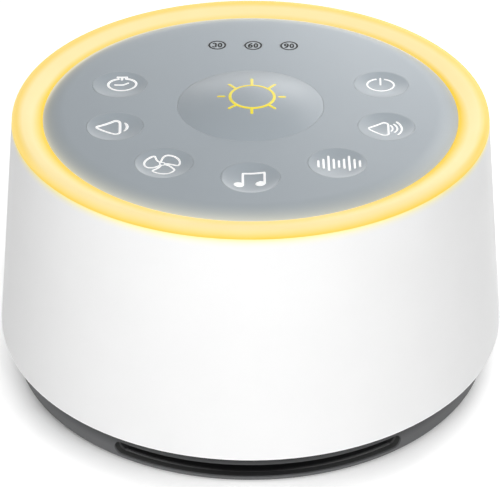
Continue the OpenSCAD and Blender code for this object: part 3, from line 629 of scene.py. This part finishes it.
class Print:
    """A thin printed layer that lies on a CAD node.

    Its points are millimetres from a centre, u to the right and v to the back.
    """

    def __init__(self, node, centre=None, step=STEP_MM):
        mesh = nodes[node].data
        low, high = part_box(node)
        corners = [v.co for v in mesh.vertices]
        self.centre = centre or ((low.x + high.x) / 2, (low.y + high.y) / 2)
        self.step = step
        self.tree = BVHTree.FromPolygons(corners, [p.vertices for p in mesh.polygons])
        self.points = []
        self.faces = []

    def lay(self, u, v, lift_mm):
        """Adds the point over the node at u, v, and returns its number."""
        x, y = self.centre[0] + u * MM, self.centre[1] + v * MM
        hit = self.tree.ray_cast(Vector((x, y, ABOVE)), DOWN)[0]
        self.points.append((x, y, hit.z + lift_mm * MM))
        return len(self.points) - 1

    def band(self, rows, closed=False):
        """Faces between rows of points of the same length."""
        for a, b in zip(rows, rows[1:] + rows[:1] if closed else rows[1:]):
            for k in range(len(a) - 1):
                self.faces.append((a[k], b[k], b[k + 1], a[k + 1]))

    def stroke(self, path, width, closed=False):
        """A line of ink with round ends. width is a number, or a function of the way along."""
        path = resample(path, self.step, closed)
        count = len(path)
        rows = []
        for i, (u, v) in enumerate(path):
            before = path[(i - 1) % count] if closed or i else path[i]
            after = path[(i + 1) % count] if closed or i < count - 1 else path[i]
            along = direction(before, after)
            rows.append(self.across(u, v, along, half_width(width, i / (count - 1))))
        if not closed:
            first = self.cap(path[0], path[1], half_width(width, 0.0), 1)
            last = self.cap(path[-1], path[-2], half_width(width, 1.0), -1)
            rows = first + rows + last[::-1]
        self.band(rows, closed)

    def across(self, u, v, along, half):
        """A row of points from side to side of a stroke."""
        side_u, side_v = -along.y * half, along.x * half
        return [self.lay(u + side_u * share, v + side_v * share, lift)
                for share, lift in STROKE_PROFILE]

    def cap(self, end, inner, half, sense):
        """Rows that round off one end of a stroke, from its tip inwards."""
        out = direction(inner, end)
        rows = []
        for angle in CAP_ANGLES:
            reach = half * math.sin(math.radians(angle))
            narrow = half * math.cos(math.radians(angle))
            u, v = end[0] + out.x * reach, end[1] + out.y * reach
            rows.append(self.across(u, v, -out * sense, narrow))
        return rows

    def blob(self, centre, rx, ry, turn):
        """A filled ellipse of ink, turned by an angle in radians."""
        c, s = math.cos(turn), math.sin(turn)
        rings = []
        for share, lift in BLOB_PROFILE:
            ring = []
            for k in range(BLOB_SIDES + 1):
                a = 2 * math.pi * (k % BLOB_SIDES) / BLOB_SIDES
                p, q = rx * share * math.cos(a), ry * share * math.sin(a)
                ring.append(self.lay(centre[0] + p * c - q * s, centre[1] + p * s + q * c, lift))
            rings.append(ring)
        self.band(rings)
        self.faces.append(tuple(rings[0][:-1]))

    def build(self, name, shader, body):
        mesh = bpy.data.meshes.new(name)
        mesh.from_pydata(self.points, [], self.faces)
        mesh.validate()
        mesh.materials.append(shader.material)
        piece = bpy.data.objects.new(name, mesh)
        bpy.context.collection.objects.link(piece)
        weld(mesh)
        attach(piece, body)


def weld(mesh):
    """Joins double points, smooths the faces and turns them all up."""
    made = bmesh.new()
    made.from_mesh(mesh)
    bmesh.ops.remove_doubles(made, verts=made.verts, dist=WELD)
    for face in made.faces:
        face.smooth = True
        face.normal_update()
        if face.normal.z < 0:
            face.normal_flip()
    made.to_mesh(mesh)
    made.free()


def direction(start, end):
    return Vector((end[0] - start[0], end[1] - start[1])).normalized()


def half_width(width, share):
    return (width(share) if callable(width) else width) / 2


def resample(path, step, closed):
    """Points at most step apart along a path of straight stretches."""
    loop = path + path[:1] if closed else path
    made = []
    for (u0, v0), (u1, v1) in zip(loop, loop[1:]):
        parts = max(1, math.ceil(math.dist((u0, v0), (u1, v1)) / step))
        made += [(u0 + (u1 - u0) * k / parts, v0 + (v1 - v0) * k / parts) for k in range(parts)]
    return made if closed else made + [loop[-1]]


def ellipse(centre, rx, ry, start=0.0, end=360.0, steps=48):
    """Points of an elliptical arc, angles in degrees. A whole turn leaves its last point out."""
    whole = abs(end - start) >= 360
    count = steps if whole else steps + 1
    angles = [math.radians(start + (end - start) * k / steps) for k in range(count)]
    return [(centre[0] + rx * math.cos(a), centre[1] + ry * math.sin(a)) for a in angles]


def rounded(corners, radii, steps=8):
    """A closed path through corners that are rounded to radii."""
    path = []
    count = len(corners)
    for i, radius in enumerate(radii):
        here = Vector(corners[i])
        to_last = (Vector(corners[i - 1]) - here).normalized()
        to_next = (Vector(corners[(i + 1) % count]) - here).normalized()
        half = to_last.angle(to_next) / 2
        middle = here + (to_last + to_next).normalized() * radius / math.sin(half)
        start = here + to_last * radius / math.tan(half) - middle
        end = here + to_next * radius / math.tan(half) - middle
        a0, a1 = math.atan2(start.y, start.x), math.atan2(end.y, end.x)
        sweep = (a1 - a0 + math.pi) % (2 * math.pi) - math.pi
        for k in range(steps + 1):
            a = a0 + sweep * k / steps
            path.append((middle.x + radius * math.cos(a), middle.y + radius * math.sin(a)))
    return path


def spline(a, b, c, d, t):
    """Catmull-Rom value between b and c, at the share t."""
    return 0.5 * (2 * b + (c - a) * t + (2 * a - 5 * b + 4 * c - d) * t * t
                  + (3 * b - a - 3 * c + d) * t ** 3)


def smooth_path(points, steps=6):
    """A smooth curve through points."""
    ext = [points[0]] + points + [points[-1]]
    path = []
    for four in zip(ext, ext[1:], ext[2:], ext[3:]):
        for k in range(steps):
            path.append(tuple(spline(*values, k / steps) for values in zip(*four)))
    return path + [points[-1]]


def turned(path, angle):
    c, s = math.cos(angle), math.sin(angle)
    return [(u * c - v * s, u * s + v * c) for u, v in path]


# ---- Symbols ----

def draw_timer(p):
    """A stopwatch."""
    p.stroke(ellipse((0.42, 1.00), 2.98, 2.42, 108, 436), 0.54)
    p.stroke([(-0.74, 3.92), (1.28, 3.88)], 0.48)
    p.stroke([(0.24, 3.85), (0.24, 3.10)], 0.56)
    p.stroke([(-1.08, 1.08), (0.66, 1.12), (1.60, 1.74)], 0.52)


def crescent(share):
    """Width of a stroke that is thickest halfway."""
    return 0.36 + 0.28 * math.sin(math.pi * share)


def draw_volume_down(p):
    """A loudspeaker with one wave."""
    corners = [(-4.20, 0.26), (0.80, 3.94), (1.14, -2.66)]
    p.stroke(rounded(corners, [0.55, 0.85, 0.85]), 0.58, closed=True)
    p.stroke(ellipse((0.05, 0.80), 2.38, 2.40, -38, 38), crescent)


def draw_volume_up(p):
    """A loudspeaker with three waves."""
    corners = [(-3.96, -0.06), (0.56, 3.42), (0.32, -3.40)]
    p.stroke(rounded(corners, [0.65, 0.80, 0.80]), 0.44, closed=True)
    p.stroke(ellipse((-0.35, 0.42), 1.70, 1.78, -38, 38), 0.36)
    p.stroke(ellipse((-0.55, 0.31), 2.83, 2.55, -38, 38), 0.40)
    p.stroke(ellipse((-0.60, 0.05), 3.77, 3.95, -40, 40), 0.42)


def draw_fan(p):
    """Three blades round a hub."""
    blades = (
        [(-0.92, 1.34), (-1.50, 1.96), (-1.81, 2.78), (-2.00, 3.14), (-2.54, 2.96), (-3.39, 2.00),
         (-3.93, 0.78), (-3.86, -0.38), (-3.32, -1.04), (-2.57, -0.98), (-1.70, -0.56),
         (-0.92, 0.13)],
        [(-0.66, 1.69), (-0.47, 2.55), (-0.06, 3.32), (0.73, 3.62), (1.84, 3.18), (2.73, 2.20),
         (3.08, 1.09), (2.94, 0.08), (2.50, -0.04), (1.53, 0.46), (0.73, 0.76), (0.19, 0.76)],
        [(0.14, 0.57), (0.95, 0.08), (1.74, -0.98), (2.06, -1.80), (1.74, -2.64), (0.97, -3.32),
         (-0.10, -3.52), (-1.20, -3.16), (-2.07, -2.58), (-2.09, -2.02), (-1.47, -1.28),
         (-0.92, -0.42), (-0.66, 0.19)],
    )
    for blade in blades:
        p.stroke(smooth_path(blade), 0.43)
    p.stroke(ellipse((-0.40, 0.81), 0.52, 0.52), 0.28, closed=True)


def draw_music(p):
    """Two joined notes."""
    p.stroke([(-1.52, -1.77), (-1.56, 2.34), (2.72, 2.54), (2.73, -1.54)], 0.48)
    p.blob((-2.31, -1.94), 1.02, 1.08, 0.1)
    p.blob((1.91, -1.42), 1.00, 1.02, 0.1)


def draw_white_noise(p):
    """Nine bars, the outer ones set a little lower."""
    halves = (1.08, 1.55, 2.54, 1.55, 1.08, 1.55, 2.54, 1.55, 1.08)
    middle, pitch, sag = (0.40, 0.74), 1.026, 0.038
    for i, half in enumerate(halves):
        u = middle[0] + (i - 4) * pitch
        v = middle[1] - sag * u * u
        p.stroke([(u, v - half), (u, v + half)], 0.48)


def draw_power(p):
    """An open circle and a bar."""
    p.stroke(ellipse((-0.10, 0.88), 2.84, 2.45, 108, 429), 0.40)
    p.stroke([(-0.02, 3.52), (-0.08, 1.18)], 0.40)


def draw_sun(p):
    """A circle with eight rays."""
    p.stroke(ellipse((0.31, -0.68), 4.60, 4.74, steps=72), 0.67, closed=True)
    rays = (
        ((0.25, 4.50), (0.25, 7.70), 0.66), ((0.24, -5.80), (0.24, -7.10), 0.66),
        ((-5.55, -0.46), (-6.62, -0.20), 0.70), ((6.05, -0.52), (7.00, -0.26), 0.70),
        ((-3.30, 2.97), (-4.50, 5.08), 0.64), ((3.86, 3.02), (5.08, 5.12), 0.64),
        ((-3.11, -4.26), (-4.38, -5.16), 0.64), ((3.78, -4.18), (4.98, -5.12), 0.64),
    )
    for near, far, width in rays:
        p.stroke([near, far], width)


# What is printed on each key, named after the body that it rides on
KEY_SYMBOLS = {
    "timer": draw_timer, "volume_down": draw_volume_down, "fan_sound": draw_fan,
    "music": draw_music, "white_noise": draw_white_noise, "volume_up": draw_volume_up,
    "power": draw_power,
}


def print_symbols():
    for body, draw in KEY_SYMBOLS.items():
        layer = Print(body + "_key")
        draw(layer)
        layer.build(body + "_symbol", ink_white, body)
    layer = Print("night_light_button")
    draw_sun(layer)
    layer.build("night_light_symbol", ink_yellow, "night_light")


# ---- Numbers on the timer windows ----

WINDOW_PITCH = 7.9 * MM              # window_pitch in part.scad
WINDOW_TURN = math.radians(-1.2)     # window_turn in part.scad
NUMBER_LINE_MM = 0.42
DIGIT_PLACES_MM = (-0.60, 0.60)
DIGIT_SCALE = (0.92, 1.04)


def digit_paths(number):
    """A digit in a box from -0.5 to 0.5 across and -1 to 1 up, as (path, closed) strokes."""
    if number == 0:
        return [(ellipse((0, 0), 0.36, 0.84), True)]
    if number == 3:
        upper = ellipse((-0.02, 0.42), 0.36, 0.42, 150, -80, 20)
        lower = ellipse((-0.02, -0.42), 0.40, 0.44, 80, -150, 20)
        return [(upper + lower, False)]
    tail = smooth_path([(-0.38, -0.36), (-0.34, 0.20), (-0.10, 0.62), (0.26, 0.84)])
    six = [(ellipse((0, -0.36), 0.38, 0.48), True), (tail, False)]
    if number == 6:
        return six
    return [([(-u, -v) for u, v in path], closed) for path, closed in six]


def draw_number(p, tens):
    """A ring round the tens and a nought."""
    p.stroke(ellipse((0, 0), 1.77, 1.87), NUMBER_LINE_MM, closed=True)
    for place, number in zip(DIGIT_PLACES_MM, (tens, 0)):
        for path, closed in digit_paths(number):
            set_out = [(place + u * DIGIT_SCALE[0], v * DIGIT_SCALE[1]) for u, v in path]
            p.stroke(turned(set_out, WINDOW_TURN), NUMBER_LINE_MM, closed)


def print_numbers():
    low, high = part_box("timer_light_pipe")
    for index, tens in enumerate((3, 6, 9)):
        away = (index - 1) * WINDOW_PITCH
        centre = ((low.x + high.x) / 2 + away * math.cos(WINDOW_TURN),
                  (low.y + high.y) / 2 + away * math.sin(WINDOW_TURN))
        layer = Print("timer_light_pipe", centre, FINE_STEP_MM)
        draw_number(layer, tens)
        layer.build(f"timer_number_{tens}0", ink_grey, "housing")


print_symbols()
print_numbers()


# ---- Studio ----

FLOOR_HALF = 3.0
FLOOR_GREY = (0.80, 0.80, 0.80)
WORLD_LEVEL = 0.044     # the world's light on the object
AIM = Vector((0, 0, 0.04))

# name, place, width, height and watts of each area lamp
SOFTBOXES = (
    ("front_low", (0.0, -0.95, 0.22), 1.0, 0.45, 2.8),
    ("front_high", (0.0, -0.60, 0.60), 0.6, 0.5, 4.4),
    ("left", (-0.85, -0.30, 0.25), 0.5, 0.5, 1.04),
    ("right", (0.85, -0.30, 0.25), 0.5, 0.5, 0.75),
    ("back", (0.0, 0.95, 0.35), 0.6, 0.5, 0.25),
    ("near_right", (0.11, 0.09, 0.15), 0.08, 0.08, 0.108),
    ("near_back", (0.06, 0.20, 0.15), 0.10, 0.10, 0.072),
    ("near_low", (0.0, 0.22, 0.11), 0.12, 0.05, 0.034),
)


def floor_level(s):
    """How bright the floor's own white is. Close round the base it is lowered as a painted
    shadow, where the real shadow also shows.
    """
    r, turn = s.radius(), s.turn()
    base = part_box("base_tray")[1].x
    far = s.span(r, base - 0.2 * MM, base + 8.3 * MM)
    # Painted shadow: the floor's own white is lowered close round the base.
    shadow = s.math("POWER", s.math("SUBTRACT", 1.0, far), 1.5)
    depth = s.product(shadow, painted_shadow_depth(s, r, turn, base))
    near_level, far_level = 0.57, 1.0
    level = s.span(r, 0.2, 0.45, near_level, far_level)
    return s.product(s.math("SUBTRACT", 1.0, depth), level)


def painted_shadow_depth(s, r, turn, base):
    """Depth of the painted shadow: deepest on the left, shallow in front, faint behind, and even
    under the machine.
    """
    left = s.span(turn, math.radians(-50), 0.0, 0.95, 0.28)
    right = s.span(turn, 0.0, math.radians(35), 0.0, 0.42)
    fade = s.span(s.math("ABSOLUTE", turn), math.radians(60), math.radians(95), 1.0, 0.1)
    around = s.product(s.math("ADD", left, right), fade)
    under = s.math("SUBTRACT", base, r)
    return s.span(under, 4 * MM, 10 * MM, around, 0.5)


def make_floor():
    """A pale floor that takes the shadow, shows as white, and is seen through from below."""
    h = FLOOR_HALF
    mesh = bpy.data.meshes.new("floor")
    mesh.from_pydata([(-h, -h, 0), (h, -h, 0), (h, h, 0), (-h, h, 0)], [], [(0, 1, 2, 3)])
    floor = bpy.data.objects.new("floor", mesh)
    bpy.context.collection.objects.link(floor)
    s = Shader("floor", 0.9, specular=0.1)
    s.colour(FLOOR_GREY)
    rays = s.node("ShaderNodeLightPath").outputs
    seen = s.math("MAXIMUM", rays["Is Camera Ray"], rays["Is Glossy Ray"])
    seen = s.math("MAXIMUM", seen, rays["Is Transmission Ray"])
    white = s.node("ShaderNodeEmission")
    white.inputs["Color"].default_value = (1, 1, 1, 1)
    s.feed(white.inputs["Strength"], s.product(seen, floor_level(s)))
    both = s.node("ShaderNodeAddShader")
    s.feed(both.inputs[0], s.bsdf.outputs[0])
    s.feed(both.inputs[1], white.outputs[0])
    open_below = s.node("ShaderNodeMixShader")
    s.feed(open_below.inputs[0], s.node("ShaderNodeNewGeometry").outputs["Backfacing"])
    s.feed(open_below.inputs[1], both.outputs[0])
    s.feed(open_below.inputs[2], s.node("ShaderNodeBsdfTransparent").outputs[0])
    s.feed(s.tree.nodes["Material Output"].inputs["Surface"], open_below.outputs[0])
    mesh.materials.append(s.material)


def make_world():
    """White where it is seen, dim where it lights the object."""
    world = bpy.data.worlds.new("studio")
    bpy.context.scene.world = world
    world.use_nodes = True
    tree = world.node_tree
    light = tree.nodes["Background"]
    light.inputs["Color"].default_value = (1, 1, 1, 1)
    rays = tree.nodes.new("ShaderNodeLightPath")
    seen = rays.outputs["Is Camera Ray"]
    for name in ("Is Glossy Ray", "Is Transmission Ray"):
        either = tree.nodes.new("ShaderNodeMath")
        either.operation = "MAXIMUM"
        tree.links.new(seen, either.inputs[0])
        tree.links.new(rays.outputs[name], either.inputs[1])
        seen = either.outputs[0]
    level = tree.nodes.new("ShaderNodeMapRange")
    level.inputs["To Min"].default_value = WORLD_LEVEL
    level.inputs["To Max"].default_value = 1.0
    tree.links.new(seen, level.inputs["Value"])
    tree.links.new(level.outputs["Result"], light.inputs["Strength"])


def softbox(name, place, width, height, power):
    data = bpy.data.lights.new(name, "AREA")
    data.shape = "RECTANGLE"
    data.size = width
    data.size_y = height
    data.energy = power
    lamp = bpy.data.objects.new(name, data)
    lamp.location = place
    lamp.visible_camera = False
    lamp.rotation_euler = (AIM - Vector(place)).to_track_quat("-Z", "Y").to_euler()
    bpy.context.collection.objects.link(lamp)


make_floor()
make_world()
for row in SOFTBOXES:
    softbox(*row)
bpy.context.scene.view_settings.view_transform = "Standard"
